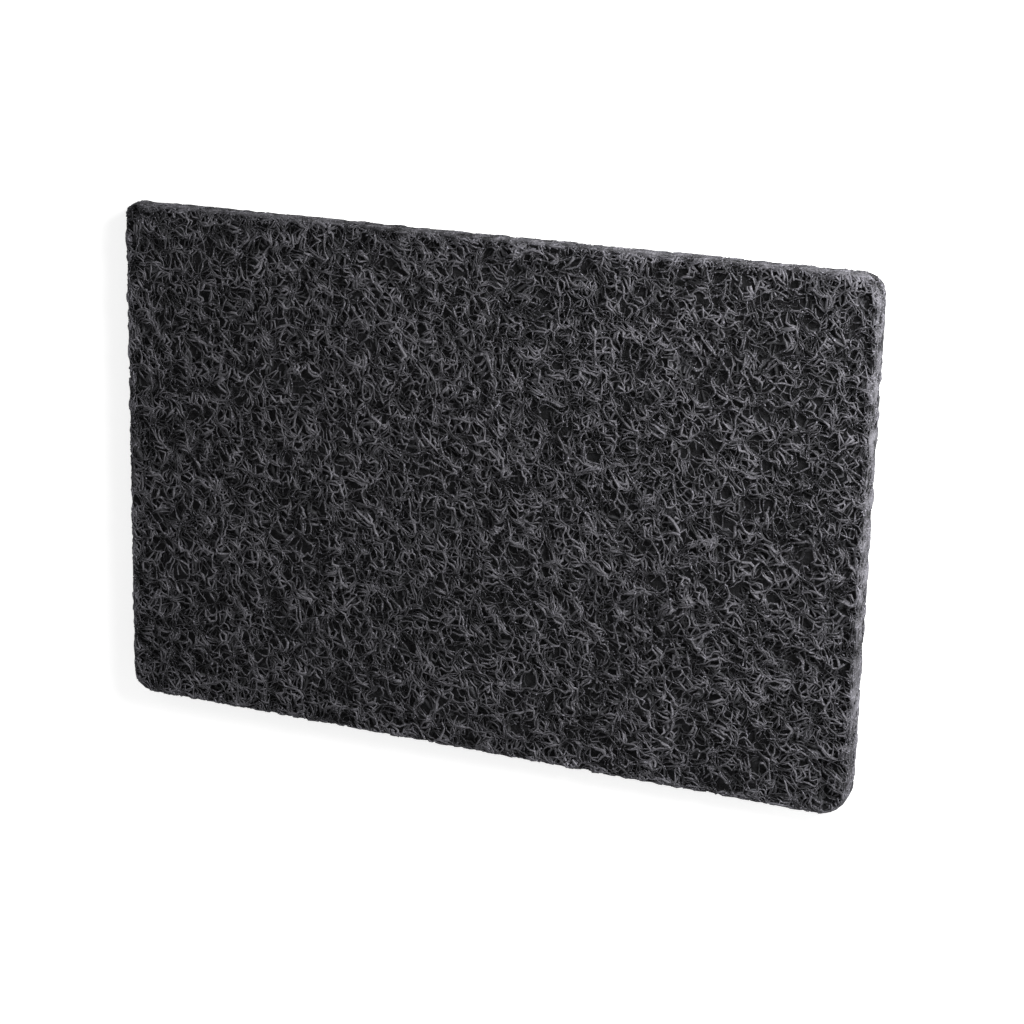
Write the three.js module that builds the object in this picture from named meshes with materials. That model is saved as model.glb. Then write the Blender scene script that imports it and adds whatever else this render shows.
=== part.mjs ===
// A scouring pad: one flat block of black non-woven web, cut from the sheet with a die.
// Crimped nylon fibres are bonded to each other with resin and grit. The pad's faces are
// a close field of tufts with hollows between them, and its cut sides are a little rough.
// Millimetres. The pad lies flat: X along its length, Y along its width, Z through its
// thickness, with the origin at the middle of the face that it rests on.

import * as THREE from 'three';
import { mergeVertices } from 'three/addons/utils/BufferGeometryUtils.js';

// The pad's overall size.
const padLength = 228.6;
const padWidth = 152.4;
const padThickness = 9;

// The corners of a soft pad never come out alike: each has the radius that it shows.
const backRightRadius = 6.6;
const backLeftRadius = 4;
const frontLeftRadius = 7.4;
const frontRightRadius = 9;

// The die drags the rim of both faces inwards, and the fibres there spring back a little.
const rimPull = 0.7;
const rimDrop = 0.3;

// The web: tufts stand in loose rows, and the hollows between them have uneven depths.
const tuftPitch = 3.9;
const tuftDrift = 1.6;
const hollowDepth = 1.6;
const tuftShare = 0.45;

// The cut sides: rows of fibre ends between the two rims, some set back from the cut.
const sideRows = 3;
const sideHollowDepth = 0.8;

// The middle of each face is pressed flat, and the pad's thickness is measured there.
const flatDiameter = 12;

// The seed of the web's unevenness, so that the pad comes out the same each time.
const webSeed = 11;

const FIBRE_COLOUR = '#3d3d40';

// Two sizes this close are the same: positions are kept as 32-bit numbers.
const tolerance = 1e-4;

// A number from 0 to 1, the next in the web's fixed series.
function chance() {
  return THREE.MathUtils.seededRandom();
}

// How deep a spot lies below the tufts' tips: most spots are tufts, the rest are hollows.
function hollow(depth) {
  return depth * Math.max(0, chance() - tuftShare) / (1 - tuftShare);
}

function cornerRadius(x, y) {
  const atRight = x > 0;
  if (y > 0) {
    return atRight ? backRightRadius : backLeftRadius;
  }
  return atRight ? frontRightRadius : frontLeftRadius;
}

// Bends the square corners of the block's plan into round ones. Squares round a corner's
// centre become circles round it, so the rows stay evenly spaced through the bend.
function roundedPlan(x, y) {
  const radius = cornerRadius(x, y);
  const core = new THREE.Vector2(
    THREE.MathUtils.clamp(x, radius - padLength / 2, padLength / 2 - radius),
    THREE.MathUtils.clamp(y, radius - padWidth / 2, padWidth / 2 - radius),
  );
  const arm = new THREE.Vector2(x, y).sub(core);
  const reach = Math.max(Math.abs(arm.x), Math.abs(arm.y));
  const outward = arm.normalize();
  return { spot: core.addScaledVector(outward, reach), outward };
}

function reaches(coordinate, size) {
  return Math.abs(coordinate) > size / 2 - tolerance;
}

// Where one point of the plain block ends up on the pad.
function shapedPoint(x, y, z) {
  const onFace = reaches(z, padThickness);
  const onSide = reaches(x, padLength) || reaches(y, padWidth);
  const faceSign = Math.sign(z);
  const { spot, outward } = roundedPlan(x, y);

  if (onFace && onSide) {
    spot.addScaledVector(outward, -rimPull);
    return new THREE.Vector3(spot.x, spot.y, z - faceSign * rimDrop);
  }
  if (onFace) {
    const pressed = Math.hypot(x, y) < flatDiameter / 2;
    spot.x += tuftDrift * (chance() - 0.5);
    spot.y += tuftDrift * (chance() - 0.5);
    const depth = hollow(hollowDepth);
    return new THREE.Vector3(spot.x, spot.y, pressed ? z : z - faceSign * depth);
  }
  spot.addScaledVector(outward, -hollow(sideHollowDepth));
  return new THREE.Vector3(spot.x, spot.y, z);
}

// Folds each cell of the web along the diagonal that stands higher, so that neighbouring
// tufts join into strands. A cell is two triangles that share the edge from b to d.
function foldAlongStrands(geometry) {
  const position = geometry.getAttribute('position');
  const index = geometry.getIndex();
  const height = (point) => Math.abs(position.getZ(point));
  for (let i = 0; i < index.count; i += 6) {
    const [a, b, d] = [0, 1, 2].map((corner) => index.getX(i + corner));
    const c = index.getX(i + 4);
    if (height(a) + height(c) > height(b) + height(d)) {
      [a, b, c, a, c, d].forEach((point, corner) => index.setX(i + corner, point));
    }
  }
}

function makePadGeometry() {
  const columns = Math.round(padLength / tuftPitch);
  const rows = Math.round(padWidth / tuftPitch);
  const block = new THREE.BoxGeometry(padLength, padWidth, padThickness, columns, rows, sideRows);
  block.deleteAttribute('normal');
  block.deleteAttribute('uv');
  const geometry = mergeVertices(block);

  THREE.MathUtils.seededRandom(webSeed);
  const position = geometry.getAttribute('position');
  for (let i = 0; i < position.count; i += 1) {
    const point = shapedPoint(position.getX(i), position.getY(i), position.getZ(i));
    position.setXYZ(i, point.x, point.y, point.z);
  }
  foldAlongStrands(geometry);
  geometry.translate(0, 0, padThickness / 2);
  geometry.computeVertexNormals();
  return geometry;
}

function makePad() {
  const fibre = new THREE.MeshStandardMaterial({
    color: FIBRE_COLOUR,
    roughness: 0.85,
    metalness: 0,
  });
  const pad = new THREE.Mesh(makePadGeometry(), fibre);
  pad.name = 'scouring_pad';
  return pad;
}

const model = new THREE.Group();
model.add(makePad());

export default model;
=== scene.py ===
# %% [markdown]
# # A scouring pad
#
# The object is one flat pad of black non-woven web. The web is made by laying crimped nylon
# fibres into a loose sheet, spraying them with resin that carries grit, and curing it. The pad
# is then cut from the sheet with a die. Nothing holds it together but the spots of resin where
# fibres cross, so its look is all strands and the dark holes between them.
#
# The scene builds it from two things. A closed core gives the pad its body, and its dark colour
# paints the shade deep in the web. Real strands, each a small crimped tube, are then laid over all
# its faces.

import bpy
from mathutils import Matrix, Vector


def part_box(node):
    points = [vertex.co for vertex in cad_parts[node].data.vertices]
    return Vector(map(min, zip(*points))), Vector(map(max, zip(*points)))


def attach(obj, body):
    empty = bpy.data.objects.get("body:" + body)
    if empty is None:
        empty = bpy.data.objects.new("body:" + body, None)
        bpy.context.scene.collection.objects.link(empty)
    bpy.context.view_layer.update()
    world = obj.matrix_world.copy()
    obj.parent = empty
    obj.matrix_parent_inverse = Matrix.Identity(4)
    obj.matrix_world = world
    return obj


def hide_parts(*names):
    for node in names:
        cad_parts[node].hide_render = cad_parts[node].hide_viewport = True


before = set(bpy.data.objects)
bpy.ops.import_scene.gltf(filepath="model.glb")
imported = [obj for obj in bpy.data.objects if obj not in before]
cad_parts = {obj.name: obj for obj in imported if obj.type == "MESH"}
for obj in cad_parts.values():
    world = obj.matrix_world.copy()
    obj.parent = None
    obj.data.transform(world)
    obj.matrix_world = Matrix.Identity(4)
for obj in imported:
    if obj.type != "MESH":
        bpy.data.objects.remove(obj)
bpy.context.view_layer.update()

# %% [markdown]
# ## Sizes
#
# Blender works in metres here, and the pad's sizes are easier to read in millimetres, so every
# length is written as a number times MM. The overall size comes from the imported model. The four
# corners have their own radii, because the corners of a soft pad never come out alike.

# %% Sizes
import math

import bmesh
import bpy
from mathutils import Matrix, Vector

MM = 0.001
NODE = "scouring_pad"

pad_low, pad_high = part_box(NODE)
PAD_LENGTH, PAD_WIDTH, PAD_THICKNESS = pad_high - pad_low
CORNER_RADII = {
    "back_right": 6.6 * MM,
    "back_left": 4.0 * MM,
    "front_left": 7.4 * MM,
    "front_right": 9.0 * MM,
}
print("pad", [round(x / MM, 2) for x in (PAD_LENGTH, PAD_WIDTH, PAD_THICKNESS)], "mm")

# %% [markdown]
# ## Four small helpers
#
# Colours are easiest to pick as the sRGB hex values of a photo editor, but a shader wants linear
# light, so `linear` turns one into the other. `add_node` adds a node to any tree, sets its
# properties, and fills or links its inputs, and `out` and `math_node` shorten the two things
# that are asked for most. They keep the trees below short.


# %% Helpers
def linear(hex_colour):
    """The linear RGBA value of an sRGB colour such as "#3d3d40"."""
    channels = [int(hex_colour[i:i + 2], 16) / 255 for i in (1, 3, 5)]
    curve = [c / 12.92 if c <= 0.04045 else ((c + 0.055) / 1.055) ** 2.4 for c in channels]
    return (*curve, 1.0)


def add_node(tree, kind, inputs=None, **settings):
    """Adds a node. inputs maps a socket's name or number to a value or to another socket."""
    node = tree.nodes.new(kind)
    for name, value in settings.items():
        setattr(node, name, value)
    for key, value in (inputs or {}).items():
        if isinstance(key, int):
            socket = node.inputs[key]
        else:
            socket = next(s for s in node.inputs if s.enabled and s.name == key)
        if isinstance(value, bpy.types.NodeSocket):
            tree.links.new(value, socket)
        else:
            socket.default_value = value
    return node


def out(node, name=None):
    """The node's first enabled output, or the enabled one of that name."""
    return next(s for s in node.outputs if s.enabled and name in (None, s.name))


def math_node(tree, operation, *values):
    """One step of arithmetic on numbers or sockets."""
    return out(add_node(tree, "ShaderNodeMath", dict(enumerate(values)), operation=operation))


print("#808080 in linear light is", round(linear("#808080")[0], 3))

# %% [markdown]
# ## The web's clumps
#
# The web is denser in some places than in others, a few millimetres apart, because the resin
# draws the fibres together as it dries. One noise stands for that everywhere. Where it is high,
# strands are thicker and stand higher, and their colour is lighter, partly for more resin and
# partly as painted light on the highest strands. Where it is low, they leave a dark pore. The
# same function serves shaders and geometry, so that all of these fall in the same places.

# %% Clump noise
CLUMP_SIZE = 4.2 * MM


def clumps(tree, place):
    """How much resin and fibre gathers at a place: about 0.25 in a pore, 0.75 in a clump."""
    noise = add_node(tree, "ShaderNodeTexNoise", {
        "Vector": place, "Scale": 1 / CLUMP_SIZE, "Detail": 1.0, "Roughness": 0.4,
    })
    return out(noise, "Fac")


print("clumps", CLUMP_SIZE / MM, "mm across")

# %% [markdown]
# ## The strands' material: nylon fibre coated with resin and grit
#
# A bare nylon fibre is smooth and glossy. The cured resin makes it lumpy and nearly matt, and
# the grit in it gives light grey specks, partly the grit's own colour and partly painted glints.
# So the colour is a charcoal that is lighter in clumps, partly where more resin settled and partly
# as painted light where strands stand highest, and it drifts slowly from one part of the sheet
# to another, as the spray did. Each strand is a little lighter or darker than its neighbours.
# A fine noise lightens the specks and roughens them. Real grit is about 0.1 mm, too fine to
# show here, so its grains are drawn 0.45 mm apart.
#
# Deep strands are darker, which is painted shade, and duller. Strands at the cut are the
# lightest.


# %% Strand material
PATCH_SIZE = 17 * MM
PATCH_SLICE = 12284 * MM
PATCH_WEIGHT = 0.6
OWN_TONE_WEIGHT = 0.2
DARKEST_SUM, LIGHTEST_SUM = 0.74, 1.2
GRAIN_SIZE = 0.45 * MM
GRAIN_HEIGHT = 0.12 * MM
ROUGHNESS_SPREAD = 0.14


def resin_and_painted_light_tone(tree, place):
    """How light the coat is, from 0 to 1: by patch of the sheet, by clump, partly painted light,
    and by strand.
    """
    slice_through = add_node(
        tree, "ShaderNodeMapping", {"Vector": place, "Location": (0, 0, PATCH_SLICE)}
    )
    patches = add_node(tree, "ShaderNodeTexNoise", {
        "Vector": out(slice_through), "Scale": 1 / PATCH_SIZE, "Detail": 1.0,
    })
    own = add_node(tree, "ShaderNodeAttribute", attribute_name="strand_tone").outputs["Fac"]
    # The clump noise makes the coat lighter: partly more resin, partly painted light on the
    # highest strands.
    patch_and_clump_tone = math_node(
        tree, "MULTIPLY_ADD", out(patches, "Fac"), PATCH_WEIGHT, clumps(tree, place)
    )
    tone = add_node(tree, "ShaderNodeMapRange", {
        "Value": math_node(tree, "MULTIPLY_ADD", own, OWN_TONE_WEIGHT, patch_and_clump_tone),
        "From Min": DARKEST_SUM, "From Max": LIGHTEST_SUM,
    })
    return out(tone, "Result")


def mix_colours(tree, share, low, high):
    """A colour between two others."""
    mixed = add_node(
        tree, "ShaderNodeMix", {"Factor": share, "A": low, "B": high}, data_type="RGBA"
    )
    return out(mixed)


def make_strand_material(name, dark, light, speck, roughness):
    """Resin-coated nylon: dark and light are its two greys, and speck is the grit's colour, partly
    painted glint.
    """
    material = bpy.data.materials.new(name)
    material.use_nodes = True
    tree = material.node_tree
    shader = tree.nodes["Principled BSDF"]
    shader.inputs["IOR"].default_value = 1.53
    shader.inputs["Specular IOR Level"].default_value = 0.22
    place = add_node(tree, "ShaderNodeTexCoord").outputs["Object"]
    grey = mix_colours(tree, resin_and_painted_light_tone(tree, place), linear(dark), linear(light))

    grains = out(add_node(
        tree, "ShaderNodeTexNoise", {"Vector": place, "Scale": 1 / GRAIN_SIZE, "Detail": 3.0}
    ), "Fac")
    # Grit specks: the grit's own lighter grey, partly painted glints.
    specks = add_node(
        tree, "ShaderNodeMapRange", {"Value": grains, "From Min": 0.55, "From Max": 0.78}
    )
    coloured = mix_colours(tree, out(specks, "Result"), grey, linear(speck))
    tree.links.new(coloured, shader.inputs["Base Color"])

    gloss = add_node(tree, "ShaderNodeMapRange", {
        "Value": grains, "From Min": 0.3, "From Max": 0.7,
        "To Min": roughness - ROUGHNESS_SPREAD, "To Max": roughness + ROUGHNESS_SPREAD,
    })
    tree.links.new(out(gloss, "Result"), shader.inputs["Roughness"])
    bump = add_node(
        tree, "ShaderNodeBump", {"Height": grains, "Strength": 0.6, "Distance": GRAIN_HEIGHT}
    )
    tree.links.new(bump.outputs["Normal"], shader.inputs["Normal"])
    return material


upper_strand = make_strand_material(
    "grit_coated_nylon_strand", "#19191b", "#545357", "#88868f", roughness=0.66
)
# The deep strands' darker greys are painted shade for the lower layers of the web.
deep_strand_painted_shade = make_strand_material(
    "grit_coated_nylon_deep_strand", "#161617", "#3a3a3d", "#545458", roughness=0.76
)
cut_strand = make_strand_material(
    "grit_coated_nylon_cut_strand", "#1c1c1e", "#5f5e63", "#918f98", roughness=0.66
)
print("materials", upper_strand.name, deep_strand_painted_shade.name, cut_strand.name)

# %% [markdown]
# ## The core's material: the matted web inside, in painted shade
#
# Deep in the pad the strands can't be told apart: the eye sees a dark mat. It gets the same
# resin greys, much darker, which is painted shade, and quite matt. Its pattern is as coarse as the
# gaps between strands, and a bump of the same pattern keeps it from ever reading as a flat wall.


# %% Core material
MAT_SIZE = 1.6 * MM
MAT_HEIGHT = 0.8 * MM


def make_core_material():
    material = bpy.data.materials.new("matted_web_inside_painted_shade")
    material.use_nodes = True
    tree = material.node_tree
    shader = tree.nodes["Principled BSDF"]
    shader.inputs["IOR"].default_value = 1.5
    shader.inputs["Specular IOR Level"].default_value = 0.2
    shader.inputs["Roughness"].default_value = 0.85
    place = add_node(tree, "ShaderNodeTexCoord").outputs["Object"]
    mat = out(add_node(tree, "ShaderNodeTexNoise", {
        "Vector": place, "Scale": 1 / MAT_SIZE, "Detail": 3.0, "Distortion": 1.2,
    }), "Fac")
    tone = add_node(
        tree, "ShaderNodeMapRange", {"Value": mat, "From Min": 0.35, "From Max": 0.7}
    )
    # The core's much darker greys are painted shade deep in the web.
    grey = mix_colours(tree, out(tone, "Result"), linear("#0c0c0d"), linear("#1f1f21"))
    tree.links.new(grey, shader.inputs["Base Color"])
    bump = add_node(
        tree, "ShaderNodeBump", {"Height": mat, "Strength": 1.0, "Distance": MAT_HEIGHT}
    )
    tree.links.new(bump.outputs["Normal"], shader.inputs["Normal"])
    return material


core_painted_shade_material = make_core_material()
print("material", core_painted_shade_material.name)

# %% [markdown]
# ## The core
#
# The core is a closed block inside the CAD pad, a little smaller so that the strands stand on
# it. It could be cut and bevelled, but a box with a fine even grid on every face bends and sinks
# more smoothly. So the grid is made cell by cell, and its square corners are bent round in plan.


# %% Core block
def bend_corner(spot, inset, size):
    """Turns squares round a corner's centre into circles round it."""
    side = "right" if spot.x > 0 else "left"
    end = "back" if spot.y > 0 else "front"
    radius = CORNER_RADII[f"{end}_{side}"] - inset
    bent = Vector((
        max(radius - size.x / 2, min(size.x / 2 - radius, spot.x)),
        max(radius - size.y / 2, min(size.y / 2 - radius, spot.y)),
    ))
    arm = spot.to_2d() - bent
    reach = max(abs(arm.x), abs(arm.y))
    if reach > 0:
        bent += arm.normalized() * reach
    return Vector((bent.x, bent.y, spot.z))


def rounded_block(name, inset, under_depth, upper_depth, cell):
    """A closed block with a fine even grid, inset from the cut sides and sunk from both faces."""
    size = Vector((
        PAD_LENGTH - 2 * inset, PAD_WIDTH - 2 * inset, PAD_THICKNESS - under_depth - upper_depth
    ))
    counts = [max(2, round(s / cell)) for s in size]
    block = bmesh.new()
    made = {}

    def corner(i, j, k):
        if (i, j, k) not in made:
            spot = Vector((n / c - 0.5 for n, c in zip((i, j, k), counts))) * size
            made[i, j, k] = block.verts.new(bend_corner(spot, inset, size))
        return made[i, j, k]

    for axis in range(3):
        u, v = (axis + 1) % 3, (axis + 2) % 3
        for level in (0, counts[axis]):
            for a in range(counts[u]):
                for b in range(counts[v]):
                    square = []
                    for da, db in ((0, 0), (1, 0), (1, 1), (0, 1)):
                        index = [0, 0, 0]
                        index[axis], index[u], index[v] = level, a + da, b + db
                        square.append(corner(*index))
                    block.faces.new(square if level else square[::-1])
    bmesh.ops.translate(block, verts=block.verts, vec=(0, 0, under_depth + size.z / 2))
    mesh = bpy.data.meshes.new(name)
    block.to_mesh(mesh)
    block.free()
    piece = bpy.data.objects.new(name, mesh)
    bpy.context.collection.objects.link(piece)
    return piece


core = rounded_block(
    "web_core", inset=0.9 * MM, under_depth=0.4 * MM, upper_depth=0.9 * MM, cell=1.8 * MM
)
print(core.name, len(core.data.polygons), "faces")

# %% [markdown]
# ## Places in a Geometry Nodes tree
#
# The trees below all need to know where a point is towards the cut. The die's outline is a
# rectangle with round corners, and the distance from it is that from a smaller rectangle, the
# one through the corners' centres, less the radius. The way out is the way from that rectangle.


# %% Distance from the cut
def group_input(tree, name, kind, value=None):
    """Adds a named input to a Geometry Nodes group."""
    socket = tree.interface.new_socket(name, in_out="INPUT", socket_type=kind)
    if value is not None:
        socket.default_value = value


def new_geometry_tree(name):
    """A Geometry Nodes group that takes a shape and gives one back."""
    tree = bpy.data.node_groups.new(name, "GeometryNodeTree")
    group_input(tree, "Geometry", "NodeSocketGeometry")
    tree.interface.new_socket("Geometry", in_out="OUTPUT", socket_type="NodeSocketGeometry")
    return tree


def position(tree):
    return out(add_node(tree, "GeometryNodeInputPosition"))


def mix_numbers(tree, share, low, high):
    """A number between two others."""
    mixed = add_node(
        tree, "ShaderNodeMix", {"Factor": share, "A": low, "B": high}, data_type="FLOAT"
    )
    return out(mixed)


def scaled(tree, vector, factor):
    """A vector made longer or shorter."""
    return out(add_node(
        tree, "ShaderNodeVectorMath", {0: vector, "Scale": factor}, operation="SCALE"
    ))


def beyond_outline(tree):
    """How far the place lies beyond the outline, the way out, and its height over the floor.

    Inside, the distance is below zero and holds for a few millimetres from the cut.
    """
    split = add_node(tree, "ShaderNodeSeparateXYZ", {"Vector": position(tree)}).outputs
    right = math_node(tree, "GREATER_THAN", split["X"], 0.0)
    back = math_node(tree, "GREATER_THAN", split["Y"], 0.0)
    radius = mix_numbers(
        tree, back,
        mix_numbers(tree, right, CORNER_RADII["front_left"], CORNER_RADII["front_right"]),
        mix_numbers(tree, right, CORNER_RADII["back_left"], CORNER_RADII["back_right"]),
    )
    arms = []
    for axis, half in (("X", PAD_LENGTH / 2), ("Y", PAD_WIDTH / 2)):
        straight = math_node(tree, "SUBTRACT", half, radius)
        beyond = math_node(
            tree, "SUBTRACT", math_node(tree, "ABSOLUTE", split[axis]), straight
        )
        side = math_node(tree, "SIGN", split[axis])
        arms.append(math_node(tree, "MULTIPLY", math_node(tree, "MAXIMUM", beyond, 0.0), side))
    arm = out(add_node(tree, "ShaderNodeCombineXYZ", {"X": arms[0], "Y": arms[1]}))
    reach = out(add_node(tree, "ShaderNodeVectorMath", {0: arm}, operation="LENGTH"), "Value")
    outward = out(add_node(tree, "ShaderNodeVectorMath", {0: arm}, operation="NORMALIZE"))
    return math_node(tree, "SUBTRACT", reach, radius), outward, split["Z"]


# %% [markdown]
# ## Hollows in the core
#
# Under each pore of the web the core has to lie deep, or the pore would show a floor. So the
# core's surface sinks along its normal, the further the clump noise falls short of one. Close to
# the cut it sinks much less: little of the web lies outside it there, and light would come
# through. Moving the vertices is better than bump here: the hollows then have true shadows.

# %% Hollows tree
CUT_BAND_START, CUT_BAND_END = -2.5 * MM, -1.0 * MM


def make_hollows_tree():
    tree = new_geometry_tree("sink_hollows")
    group_input(tree, "Upper Depth", "NodeSocketFloat", 3.4 * MM)
    group_input(tree, "Under Depth", "NodeSocketFloat", 4.2 * MM)
    group_input(tree, "Rim Depth", "NodeSocketFloat", 0.6 * MM)
    group_input(tree, "Material", "NodeSocketMaterial")
    given = tree.nodes.new("NodeGroupInput").outputs
    outside, _, height = beyond_outline(tree)
    under = math_node(tree, "LESS_THAN", height, PAD_THICKNESS / 2)
    own_depth = out(add_node(tree, "ShaderNodeMapRange", {
        "Value": outside, "From Min": CUT_BAND_START, "From Max": CUT_BAND_END,
        "To Min": mix_numbers(tree, under, given["Upper Depth"], given["Under Depth"]),
        "To Max": given["Rim Depth"],
    }), "Result")
    shortfall = math_node(tree, "SUBTRACT", clumps(tree, position(tree)), 1.0)
    sink = math_node(tree, "MULTIPLY", shortfall, own_depth)
    normal = out(add_node(tree, "GeometryNodeInputNormal"), "Normal")
    sunk = add_node(
        tree, "GeometryNodeSetPosition",
        {"Geometry": given["Geometry"], "Offset": scaled(tree, normal, sink)},
    )
    smooth = add_node(tree, "GeometryNodeSetShadeSmooth", {0: out(sunk)})
    finished = add_node(
        tree, "GeometryNodeSetMaterial", {"Geometry": out(smooth), "Material": given["Material"]}
    )
    add_node(tree, "NodeGroupOutput", {0: out(finished)})
    return tree


hollows_tree = make_hollows_tree()
print(hollows_tree.name, len(hollows_tree.nodes), "nodes")

# %% [markdown]
# ## Applying a tree
#
# A tree does its work through a modifier. Its inputs are set by the sockets' identifiers before
# the object is first evaluated, and the evaluated result is then kept as a plain mesh, so that
# nothing is left to recompute when the model is exported.


# %% Apply a tree
def apply_tree(piece, tree, values):
    """Runs the tree on the piece with those input values and keeps the result as its mesh."""
    modifier = piece.modifiers.new(tree.name, "NODES")
    modifier.node_group = tree
    for item in tree.interface.items_tree:
        if item.item_type == "SOCKET" and item.in_out == "INPUT" and item.name in values:
            modifier[item.identifier] = values[item.name]
    evaluated = piece.evaluated_get(bpy.context.evaluated_depsgraph_get())
    finished = bpy.data.meshes.new_from_object(evaluated)
    piece.modifiers.clear()
    piece.data = finished
    finished.name = piece.name
    triangles = sum(len(face.vertices) - 2 for face in finished.polygons)
    print(piece.name, triangles, "triangles")
    return piece


apply_tree(core, hollows_tree, {"Material": core_painted_shade_material})

# %% [markdown]
# ## A kit of crimped strands
#
# A crimped fibre wanders: it keeps turning left and right, and never runs straight for more than
# a few millimetres. Each strand is walked step by step. Its heading is a smooth noise along its
# length, and Accumulate Field adds the steps up into a path. A few dozen such strands are
# enough, because each copy is turned and picked at random when it is laid.
#
# The noise is read along one line for each kind of strand, and the lines lie far enough apart
# that no two kinds are alike. A walk starts some way back from the origin, so that a strand
# lies about evenly to both sides of the point that it is laid on.

# %% Strand kit
KINDS_APART = 7.31
RISE_APART = 31.7
START_SHARE = -0.4


def strand_number(tree):
    """The number of the strand that a point belongs to."""
    return out(add_node(
        tree, "GeometryNodeFieldOnDomain",
        {"Value": out(add_node(tree, "GeometryNodeInputIndex"))},
        domain="CURVE", data_type="INT",
    ))


def noise_along(tree, along, apart, layer, scale, detail):
    """A smooth number round 0 that changes along each strand in its own way."""
    track = add_node(tree, "ShaderNodeCombineXYZ", {"X": along, "Y": apart, "Z": layer})
    noise = add_node(
        tree, "ShaderNodeTexNoise", {"Vector": out(track), "Scale": scale, "Detail": detail}
    )
    return math_node(tree, "SUBTRACT", out(noise, "Fac"), 0.5)


def make_strand_kit(tree, given):
    """Crimped paths round the origin, one instance each."""
    line = add_node(tree, "GeometryNodeCurvePrimitiveLine")
    walked = add_node(
        tree, "GeometryNodeResampleCurve", {"Curve": out(line), "Count": given["Strand Points"]}
    )
    copies = add_node(
        tree, "GeometryNodeDuplicateElements",
        {"Geometry": out(walked), "Amount": given["Kinds"]}, domain="SPLINE",
    )
    which = strand_number(tree)
    step_number = out(add_node(tree, "GeometryNodeSplineParameter"), "Index")
    along = math_node(tree, "MULTIPLY", step_number, given["Crimp"])
    apart = math_node(tree, "MULTIPLY", which, KINDS_APART)

    wander = noise_along(tree, along, apart, layer=0.0, scale=1.0, detail=1.0)
    heading = math_node(tree, "MULTIPLY", wander, given["Turn"])
    step = add_node(tree, "ShaderNodeCombineXYZ", {
        "X": math_node(tree, "MULTIPLY", math_node(tree, "COSINE", heading), given["Step"]),
        "Y": math_node(tree, "MULTIPLY", math_node(tree, "SINE", heading), given["Step"]),
    })
    path = add_node(
        tree, "GeometryNodeAccumulateField", {"Value": out(step), "Group ID": which},
        data_type="FLOAT_VECTOR", domain="POINT",
    )
    rise = noise_along(tree, along, apart, layer=RISE_APART, scale=0.7, detail=2.0)
    full_length = math_node(tree, "MULTIPLY", given["Strand Points"], given["Step"])
    shift = add_node(tree, "ShaderNodeCombineXYZ", {
        "X": math_node(tree, "MULTIPLY", full_length, START_SHARE),
        "Z": math_node(tree, "MULTIPLY", rise, given["Lift"]),
    })
    place = add_node(
        tree, "ShaderNodeVectorMath", {0: out(path, "Trailing"), 1: out(shift)}, operation="ADD"
    )
    shaped = add_node(
        tree, "GeometryNodeSetPosition",
        {"Geometry": out(copies, "Geometry"), "Position": out(place)},
    )
    return out(add_node(
        tree, "GeometryNodeSplitToInstances", {"Geometry": out(shaped), "Group ID": which},
        domain="CURVE",
    ))


# %% [markdown]
# ## Scattering the strands
#
# A bed, which is a plain sheet along one face of the pad, says where strands may lie. Points are
# scattered over it, one candidate for each square millimetre, and those closer to another than
# Spacing are taken away, which leaves them even but in no rows. Every random value has its own
# seed, so the pad comes out the same each time.

# %% Scattering
CANDIDATE_DENSITY = 1 / MM ** 2


def random_value(tree, kind, low, high, seed, **for_each):
    """A random number for each point, or for each value of ID where that is given."""
    return out(add_node(
        tree, "FunctionNodeRandomValue", {"Min": low, "Max": high, "Seed": seed, **for_each},
        data_type=kind,
    ))


def scatter_strands(tree, given):
    scatter = add_node(
        tree, "GeometryNodeDistributePointsOnFaces",
        {"Mesh": given["Geometry"], "Distance Min": given["Spacing"],
         "Density Max": CANDIDATE_DENSITY, "Seed": given["Seed"]},
        distribute_method="POISSON",
    )
    depth = random_value(tree, "FLOAT", given["Least Depth"], given["Most Depth"], seed=3)
    inwards = scaled(tree, out(scatter, "Normal"), math_node(tree, "MULTIPLY", depth, -1.0))
    sunk = add_node(
        tree, "GeometryNodeSetPosition", {"Geometry": out(scatter, "Points"), "Offset": inwards}
    )
    other_tilt = math_node(tree, "MULTIPLY", given["Tilt"], -1.0)
    spin = add_node(tree, "ShaderNodeCombineXYZ", {
        "X": random_value(tree, "FLOAT", other_tilt, given["Tilt"], seed=4),
        "Y": random_value(tree, "FLOAT", other_tilt, given["Tilt"], seed=5),
        "Z": random_value(tree, "FLOAT", 0.0, math.tau, seed=6),
    })
    spun = add_node(tree, "FunctionNodeEulerToRotation", {"Euler": out(spin)})
    turned = add_node(
        tree, "FunctionNodeRotateRotation",
        {"Rotation": out(scatter, "Rotation"), "Rotate By": out(spun)}, rotation_space="LOCAL",
    )
    last_kind = math_node(tree, "SUBTRACT", given["Kinds"], 1.0)
    laid = add_node(tree, "GeometryNodeInstanceOnPoints", {
        "Points": out(sunk), "Instance": make_strand_kit(tree, given), "Pick Instance": True,
        "Instance Index": random_value(tree, "INT", 0, last_kind, seed=7),
        "Rotation": out(turned),
    })
    return out(add_node(tree, "GeometryNodeRealizeInstances", {"Geometry": out(laid)}))


# %% [markdown]
# ## Matting
#
# As the resin dries it pulls strands that lie near each other the same way, and that is what
# opens the pores. A noise with three values, one for each direction, drags every point by its
# own amount. Points close to each other move together, so strands bunch up in some places and
# part in others.


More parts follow.
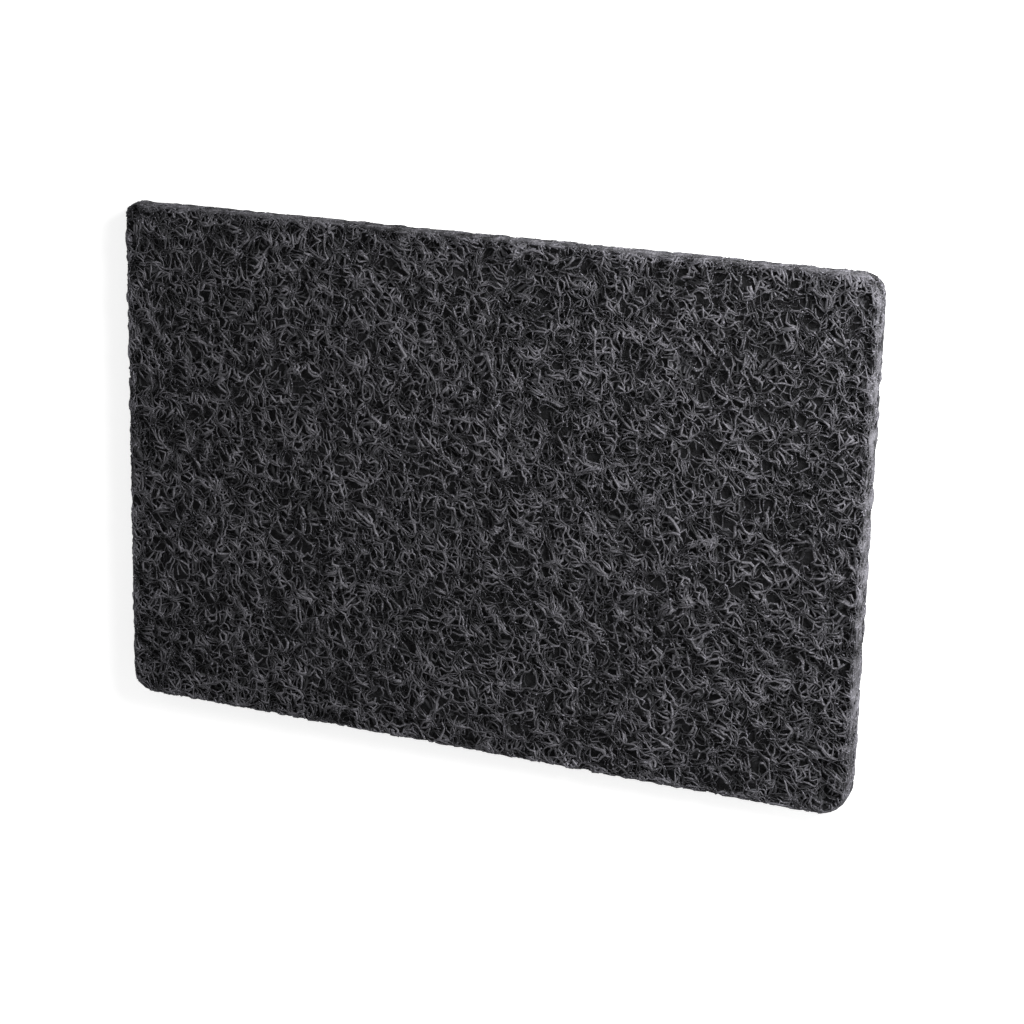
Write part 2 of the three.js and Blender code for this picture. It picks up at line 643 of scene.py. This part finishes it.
# %% Matting
def mat_together(tree, strands, given):
    """Drags strands that lie near each other the same way, which leaves clumps and open pores."""
    drift = out(add_node(
        tree, "ShaderNodeTexNoise", {"Scale": 1 / CLUMP_SIZE, "Detail": 1.0}
    ), "Color")
    centred = out(add_node(
        tree, "ShaderNodeVectorMath", {0: drift, 1: (0.5, 0.5, 0.5)}, operation="SUBTRACT"
    ))
    return out(add_node(
        tree, "GeometryNodeSetPosition",
        {"Geometry": strands, "Offset": scaled(tree, centred, given["Matting"])},
    ))


# %% [markdown]
# ## Pressing and cutting
#
# What would stand out of the pad's faces is pressed back to them, as the maker's rollers do,
# and what crosses the outline is cut off there, as the die does. A strand that stands out too
# far loses its points. One that stands out a little is folded back in, and at the rim its end
# turns over the edge, so that face and cut side close up without a groove between them.
#
# The surface it is pressed to isn't flat. In a clump, strands come right up to it, and over a
# pore they stay deeper. At the cut each strand also ends a little short by its own amount.

# %% Pressing and cutting
PORE_LEVEL, SURFACE_LEVEL, CLUMP_LEVEL = 0.35, 0.6, 0.68
GIRTH_IN_PORES, GIRTH_IN_CLUMPS = 0.55, 1.9
THINNEST, THICKEST = 0.7, 1.3
FACE_SINK = 1.1 * MM
SIDE_SINK = 0.65 * MM
OWN_SINK = 0.3 * MM
RIM_PULL = 0.6 * MM
RIM_SHARPNESS = 5.0
FOLD_STEPS = 1.5


def margin_inside(tree, thickness, sink):
    """How far a strand's middle stays inside the pad's surface.

    In a clump that is the radius of the thickest strand there, and in a pore it is sink.
    """
    full_radius = math_node(tree, "MULTIPLY", thickness, GIRTH_IN_CLUMPS * THICKEST / 2)
    return out(add_node(tree, "ShaderNodeMapRange", {
        "Value": clumps(tree, position(tree)), "From Min": PORE_LEVEL, "From Max": SURFACE_LEVEL,
        "To Min": sink, "To Max": full_radius,
    }), "Result")


def fold_in(tree, strands, step, excess, outward, rise):
    """Moves what stands out back in, and takes away what stands out too far to be folded.

    The points move inwards by as much as they stand out, and up by rise.
    """
    far = math_node(tree, "GREATER_THAN", excess, math_node(tree, "MULTIPLY", step, FOLD_STEPS))
    near = add_node(
        tree, "GeometryNodeDeleteGeometry", {"Geometry": strands, "Selection": far},
        domain="POINT",
    )
    inwards = scaled(tree, outward, math_node(tree, "MULTIPLY", excess, -1.0))
    upwards = out(add_node(tree, "ShaderNodeCombineXYZ", {"Z": rise}))
    offset = add_node(tree, "ShaderNodeVectorMath", {0: inwards, 1: upwards}, operation="ADD")
    return out(add_node(
        tree, "GeometryNodeSetPosition", {"Geometry": out(near), "Offset": out(offset)}
    ))


def press_flat(tree, strands, step, thickness):
    """Presses what stands out of the two faces back to them, and near the cut inwards too."""
    _, outward, height = beyond_outline(tree)
    lowest = margin_inside(tree, thickness, FACE_SINK)
    highest = math_node(tree, "SUBTRACT", PAD_THICKNESS, lowest)
    pressed = math_node(tree, "MINIMUM", math_node(tree, "MAXIMUM", height, lowest), highest)
    rise = math_node(tree, "SUBTRACT", pressed, height)
    return fold_in(tree, strands, step, math_node(tree, "ABSOLUTE", rise), outward, rise)


def cut_to_outline(tree, strands, step, thickness):
    """Cuts strands flush with the outline, and turns their ends along the side at the rims."""
    outside, outward, height = beyond_outline(tree)
    own_sink = random_value(tree, "FLOAT", 0.0, OWN_SINK, seed=8, ID=strand_number(tree))
    margin = math_node(tree, "ADD", margin_inside(tree, thickness, SIDE_SINK), own_sink)
    past = math_node(tree, "ADD", outside, margin)
    level = math_node(tree, "MULTIPLY_ADD", height, 2 / PAD_THICKNESS, -1.0)
    at_rim = math_node(tree, "POWER", math_node(tree, "ABSOLUTE", level), RIM_SHARPNESS)
    rounding = math_node(tree, "MULTIPLY", at_rim, RIM_PULL)
    excess = math_node(tree, "MAXIMUM", math_node(tree, "ADD", past, rounding), 0.0)
    to_middle = math_node(tree, "MULTIPLY", math_node(tree, "SIGN", level), -1.0)
    rise = math_node(tree, "MULTIPLY", math_node(tree, "MULTIPLY", excess, at_rim), to_middle)
    return fold_in(tree, strands, step, excess, outward, rise)


# %% [markdown]
# ## From paths to tubes
#
# Each path becomes a tube, thin in the pores and thick in the clumps, where resin gathers on
# it. A section with three sides is enough for strands this thin, and with smooth shading it
# looks round. Each strand also keeps a random tone of its own, which its material reads.

# %% Tubes
FEWEST_POINTS = 3.0


def make_tubes(tree, paths, given):
    """Turns the paths into closed tubes, and leaves out stubs of one or two points."""
    points_left = out(add_node(tree, "GeometryNodeSplineLength"), "Point Count")
    stub = math_node(tree, "LESS_THAN", points_left, FEWEST_POINTS)
    kept = add_node(
        tree, "GeometryNodeDeleteGeometry", {"Geometry": paths, "Selection": stub},
        domain="CURVE",
    )
    which = strand_number(tree)
    tone = random_value(tree, "FLOAT", 0.0, 1.0, seed=9, ID=which)
    toned = add_node(
        tree, "GeometryNodeStoreNamedAttribute",
        {"Geometry": out(kept), "Name": "strand_tone", "Value": tone},
        data_type="FLOAT", domain="POINT",
    )
    girth = out(add_node(tree, "ShaderNodeMapRange", {
        "Value": clumps(tree, position(tree)), "From Min": PORE_LEVEL, "From Max": CLUMP_LEVEL,
        "To Min": GIRTH_IN_PORES, "To Max": GIRTH_IN_CLUMPS,
    }), "Result")
    own_share = random_value(tree, "FLOAT", THINNEST, THICKEST, seed=10, ID=which)
    own_girth = math_node(tree, "MULTIPLY", girth, own_share)
    half_thickness = math_node(tree, "MULTIPLY", given["Thickness"], 0.5)
    section = add_node(
        tree, "GeometryNodeCurvePrimitiveCircle", {"Resolution": given["Sides"], "Radius": 1.0}
    )
    return out(add_node(tree, "GeometryNodeCurveToMesh", {
        "Curve": out(toned), "Profile Curve": out(section),
        "Scale": math_node(tree, "MULTIPLY", own_girth, half_thickness), "Fill Caps": True,
    }))


# %% [markdown]
# ## The whole tree
#
# One tree does all of this, in the order in which the real web is made: lay, mat, press, cut.
# Its named inputs are the sizes in which one layer of the web differs from another, and their
# values here are those of the upper face's top layer.


# %% Laying tree
def make_laying_tree():
    tree = new_geometry_tree("lay_strands")
    for name, kind, value in (
        ("Spacing", "NodeSocketFloat", 3.0 * MM),
        ("Seed", "NodeSocketInt", 1),
        ("Least Depth", "NodeSocketFloat", 0.0),
        ("Most Depth", "NodeSocketFloat", 1.1 * MM),
        ("Tilt", "NodeSocketFloat", math.radians(5)),
        ("Strand Points", "NodeSocketInt", 13),
        ("Step", "NodeSocketFloat", 1.3 * MM),
        ("Crimp", "NodeSocketFloat", 0.3),
        ("Turn", "NodeSocketFloat", 8.0),
        ("Lift", "NodeSocketFloat", 1.2 * MM),
        ("Kinds", "NodeSocketInt", 48),
        ("Thickness", "NodeSocketFloat", 0.44 * MM),
        ("Matting", "NodeSocketFloat", 5.5 * MM),
        ("Sides", "NodeSocketInt", 3),
        ("Material", "NodeSocketMaterial", None),
    ):
        group_input(tree, name, kind, value)
    given = tree.nodes.new("NodeGroupInput").outputs

    matted = mat_together(tree, scatter_strands(tree, given), given)
    pressed = press_flat(tree, matted, given["Step"], given["Thickness"])
    cut = cut_to_outline(tree, pressed, given["Step"], given["Thickness"])
    smooth = add_node(tree, "GeometryNodeSetShadeSmooth", {0: make_tubes(tree, cut, given)})
    solid = add_node(tree, "GeometryNodeRealizeInstances", {"Geometry": out(smooth)})
    finished = add_node(
        tree, "GeometryNodeSetMaterial", {"Geometry": out(solid), "Material": given["Material"]}
    )
    add_node(tree, "NodeGroupOutput", {0: out(finished)})
    return tree


laying_tree = make_laying_tree()
print(laying_tree.name, len(laying_tree.nodes), "nodes")

# %% [markdown]
# ## The beds
#
# A face's bed is a flat sheet, facing outwards, a little larger than the pad, so that the web
# is as dense at the cut as anywhere. The cut side's bed is a wall that stands all the way round
# the outline. Both follow the outline that the die cuts: a rectangle whose corners are arcs.

# %% Beds
ARC_STEPS = 6
SIDE_STEP = 4 * MM
OVERHANG = 5 * MM
WALL_INSET = 0.2 * MM
WALL_GAP = 0.4 * MM


def outline(inset):
    """Points round the pad, anticlockwise from the back right corner, inset from the cut."""
    corners = (
        ("back_right", 1, 1, 0),
        ("back_left", -1, 1, 90),
        ("front_left", -1, -1, 180),
        ("front_right", 1, -1, 270),
    )
    points = []
    for name, sign_x, sign_y, start in corners:
        radius = CORNER_RADII[name]
        centre = Vector((sign_x * (PAD_LENGTH / 2 - radius), sign_y * (PAD_WIDTH / 2 - radius)))
        for step in range(ARC_STEPS + 1):
            angle = math.radians(start + 90 * step / ARC_STEPS)
            arm = Vector((math.cos(angle), math.sin(angle)))
            points.append(centre + (radius - inset) * arm)
    ring = []
    for here, after in zip(points, points[1:] + points[:1]):
        pieces = max(1, round((after - here).length / SIDE_STEP))
        ring += [here.lerp(after, i / pieces) for i in range(pieces)]
    return ring


def bed_object(name, points, faces):
    mesh = bpy.data.meshes.new(name)
    mesh.from_pydata(points, [], faces)
    bed = bpy.data.objects.new(name, mesh)
    bpy.context.collection.objects.link(bed)
    return bed


def face_bed(name, z, up):
    """A sheet at height z, facing up or down."""
    ring = outline(-OVERHANG)
    loop = list(range(len(ring)))
    return bed_object(name, [(p.x, p.y, z) for p in ring], [loop if up else loop[::-1]])


def side_bed(name):
    """A wall just inside the cut, a little lower than the pad is thick."""
    ring = outline(WALL_INSET)
    count = len(ring)
    points = [(p.x, p.y, z) for z in (WALL_GAP, PAD_THICKNESS - WALL_GAP) for p in ring]
    faces = [(i, (i + 1) % count, (i + 1) % count + count, i + count) for i in range(count)]
    return bed_object(name, points, faces)


print("outline of", len(outline(0)), "points")

# %% [markdown]
# ## The strands of each face
#
# Both broad faces are alike, since the web is the same all through. The upper one, which shows
# most, has three layers, from fine light strands on top to thick dull ones that only show
# through the gaps and are darkened with painted shade. The under face has two, which go as deep.


# %% Face strands
def upper_layer(name, values):
    return apply_tree(face_bed(name, PAD_THICKNESS, True), laying_tree, values)


def under_layer(name, values):
    return apply_tree(face_bed(name, 0.0, False), laying_tree, values)


TOP = {"Material": upper_strand, "Seed": 11}
MIDDLE = {**TOP, "Seed": 12, "Least Depth": 0.9 * MM, "Most Depth": 2.1 * MM}
# The deep layers take the darker material, whose greys are painted shade.
DEEP = {
    "Material": deep_strand_painted_shade, "Seed": 13, "Spacing": 3.7 * MM, "Step": 1.7 * MM,
    "Thickness": 0.8 * MM, "Least Depth": 1.9 * MM, "Most Depth": 2.9 * MM,
}
UNDER = {**TOP, "Seed": 14, "Most Depth": 1.5 * MM}
UNDER_DEEP = {**DEEP, "Seed": 15, "Least Depth": 1.0 * MM}

strands = [
    upper_layer("upper_face_strands", TOP),
    upper_layer("upper_face_middle_strands", MIDDLE),
    upper_layer("upper_face_deep_strands", DEEP),
    under_layer("under_face_strands", UNDER),
    under_layer("under_face_deep_strands", UNDER_DEEP),
]

# %% [markdown]
# ## The strands of the cut side
#
# The die cuts through strands that lie flat in the web, so its side shows short ends at slight
# slants and not the long crimped strands of a face. They are short and close, matted less and
# tilted more, and have a lighter coat than the faces' strands.

# %% Side strands
SIDE = {
    "Material": cut_strand, "Seed": 16, "Spacing": 0.75 * MM, "Strand Points": 8,
    "Thickness": 0.46 * MM, "Least Depth": 0.0, "Most Depth": 1.0 * MM,
    "Tilt": math.radians(16), "Matting": 2.0 * MM,
}
strands.append(apply_tree(side_bed("cut_side_strands"), laying_tree, SIDE))

# %% [markdown]
# ## Joining the pieces to the frame
#
# Every piece rides on the part's one body, and the CAD pad itself is hidden. The core is the
# piece that stands for it.

# %% Ride and replace
for piece in [core, *strands]:
    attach(piece, "root")
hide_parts(NODE)
print(1 + len(strands), "pieces ride on the root body")

# %% [markdown]
# ## The floor
#
# The pad lies on a plain pale floor, like a sheet of paper. For the camera it glows a little,
# which brings it near white, as the photo's ground is. The glow is only part of its tone, so the
# pad's soft shadow still shows, and it lights nothing, because only camera and glossy rays see it.

# %% Floor
FLOOR_REACH = 4.0
FLOOR_GLOW = 0.65


def background_rays(tree):
    """1 for rays that show the background, directly or in a gloss, and 0 for all others."""
    rays = add_node(tree, "ShaderNodeLightPath").outputs
    return math_node(tree, "MAXIMUM", rays["Is Camera Ray"], rays["Is Glossy Ray"])


def make_floor_material():
    material = bpy.data.materials.new("pale_paper")
    material.use_nodes = True
    tree = material.node_tree
    shader = tree.nodes["Principled BSDF"]
    shader.inputs["Base Color"].default_value = linear("#e6e6e6")
    shader.inputs["Roughness"].default_value = 0.9
    strength = math_node(tree, "MULTIPLY", background_rays(tree), FLOOR_GLOW)
    glow = add_node(tree, "ShaderNodeEmission", {"Strength": strength})
    both = add_node(tree, "ShaderNodeAddShader", {0: out(shader), 1: out(glow)})
    tree.links.new(out(both), tree.nodes["Material Output"].inputs["Surface"])
    return material


def make_floor():
    corners = [
        (x * FLOOR_REACH, y * FLOOR_REACH, 0) for x, y in ((-1, -1), (1, -1), (1, 1), (-1, 1))
    ]
    mesh = bpy.data.meshes.new("floor")
    mesh.from_pydata(corners, [], [(0, 1, 2, 3)])
    mesh.materials.append(make_floor_material())
    made = bpy.data.objects.new("floor", mesh)
    bpy.context.collection.objects.link(made)
    return made


floor = make_floor()
print(floor.name, 2 * FLOOR_REACH, "m wide")

# %% [markdown]
# ## The world
#
# The world is the room's even light. It lights the pad at a low level, so that the lamps can
# model it, and the camera sees it as white.

# %% World
WORLD_LEVEL = 0.35
WHITE_LEVEL = 1.0


def make_world():
    world = bpy.data.worlds.new("soft_studio")
    world.use_nodes = True
    tree = world.node_tree
    background = tree.nodes["Background"].inputs
    background["Color"].default_value = (1, 1, 1, 1)
    strength = math_node(
        tree, "MULTIPLY_ADD", background_rays(tree), WHITE_LEVEL - WORLD_LEVEL, WORLD_LEVEL
    )
    tree.links.new(strength, background["Strength"])
    return world


bpy.context.scene.world = make_world()
print("world level", WORLD_LEVEL)

# %% [markdown]
# ## The lamps
#
# In the photo the pad is lighter and crisper towards its back right, and its right cut side is
# the lightest part of it. A key lamp low over the back right corner gives the first, and a weak
# lamp near the floor on the right gives the second. Both are soft boxes, close to the pad, so
# that their light falls off across it.


# %% Lamps
def area_lamp(name, place, size, watts):
    """A square soft box at place, facing the middle of the pad."""
    data = bpy.data.lights.new(name, "AREA")
    data.size = size
    data.energy = watts
    lamp = bpy.data.objects.new(name, data)
    lamp.location = place
    lamp.rotation_euler = (-Vector(place)).to_track_quat("-Z", "Y").to_euler()
    bpy.context.collection.objects.link(lamp)
    print(name, watts, "W")


area_lamp("key_lamp", place=(0.277, 0.2, 0.16), size=0.2, watts=2.85)
area_lamp("right_lamp", place=(0.42, -0.03, 0.05), size=0.15, watts=0.9)

# %% [markdown]
# ## The camera
#
# The camera keeps the place that it has towards the pad in the photograph. There the pad stands
# on its long edge, so the camera is first placed round a standing pad, by its turn to the side,
# its height and its roll. The same turn that lays the pad on its back then lays the camera too.

# %% Camera
VIEW_TURN = math.radians(22.92)
VIEW_RISE = math.radians(16.16)
VIEW_ROLL = math.radians(1.45)
VIEW_DISTANCE = 3.085 * PAD_LENGTH
VIEW_SHIFT_X = -0.0483 * PAD_LENGTH
VIEW_SHIFT_Y = 0.0123 * PAD_LENGTH
FOCAL_PIXELS = 2484
IMAGE_PIXELS = 1024


def lay_down(direction):
    """Turns a direction of the standing pad into the lying one: its front comes to face up."""
    return Vector((direction.x, direction.z, -direction.y))


def make_camera():
    back = Vector((
        math.sin(VIEW_TURN) * math.cos(VIEW_RISE),
        -math.cos(VIEW_TURN) * math.cos(VIEW_RISE),
        math.sin(VIEW_RISE),
    ))
    level_right = Vector((0, 0, 1)).cross(back).normalized()
    level_up = back.cross(level_right)
    right = level_right * math.cos(VIEW_ROLL) + level_up * math.sin(VIEW_ROLL)
    up = level_up * math.cos(VIEW_ROLL) - level_right * math.sin(VIEW_ROLL)
    place = lay_down(back * VIEW_DISTANCE - right * VIEW_SHIFT_X - up * VIEW_SHIFT_Y)
    place.z += PAD_THICKNESS
    axes = Matrix((lay_down(right), lay_down(up), lay_down(back))).transposed().to_4x4()

    data = bpy.data.cameras.new("camera")
    data.sensor_width = 36
    data.lens = data.sensor_width * FOCAL_PIXELS / IMAGE_PIXELS
    camera = bpy.data.objects.new("camera", data)
    camera.matrix_world = Matrix.Translation(place) @ axes
    bpy.context.collection.objects.link(camera)
    print("camera", round(VIEW_DISTANCE, 3), "m away, lens", round(data.lens, 1), "mm")
    return camera


bpy.context.scene.camera = make_camera()
bpy.context.scene.view_settings.view_transform = "Standard"
